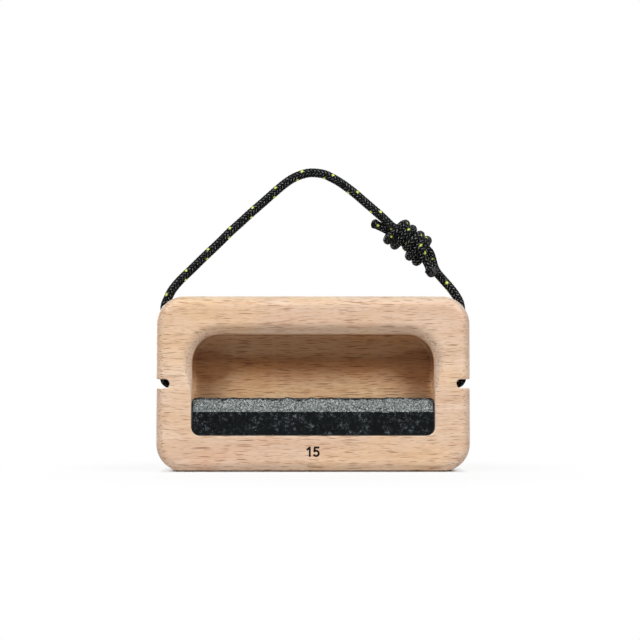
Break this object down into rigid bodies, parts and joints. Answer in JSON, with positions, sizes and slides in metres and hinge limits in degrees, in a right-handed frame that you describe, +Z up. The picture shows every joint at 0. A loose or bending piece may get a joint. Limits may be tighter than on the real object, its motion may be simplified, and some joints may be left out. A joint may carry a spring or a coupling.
{
  "type": "hangboard",
  "caption": "Portable wooden hangboard with a finger pocket whose lower edge is a stone bar, hung from a knotted loop of cord that runs through the block.",
  "frame": {"origin": "under the middle of the block's base, in the plane that it stands on", "axes": "+X along the block's width to the right seen from the front, +Y from the front face to the back, +Z up"},
  "size_m": [0.18, 0.032, 0.1773],
  "materials": {
    "beech": "sanded beech, fine horizontal flecks, thin satin oil",
    "granite": "dark granite, polished front, rough light grey bevel",
    "adhesive": "dark cured adhesive",
    "cord": "braided black sheath with small yellow-green tracer flecks"
  },
  "bodies": {
    "block": {"beech_body": "beech", "granite_edge": "granite", "adhesive_bed": "adhesive", "cord_channel_run": "cord"},
    "cord_loop": {"cord_left_leg": "cord", "cord_right_leg": "cord", "knot_left_strand": "cord", "knot_right_strand": "cord"}
  },
  "joints": [
    {"name": "loop_swing", "type": "hinge", "parent": "block", "child": "cord_loop", "pos_m": [0, 0.006, 0.104], "axis": [1, 0, 0], "range_deg": [-95, 80]}
  ]
}
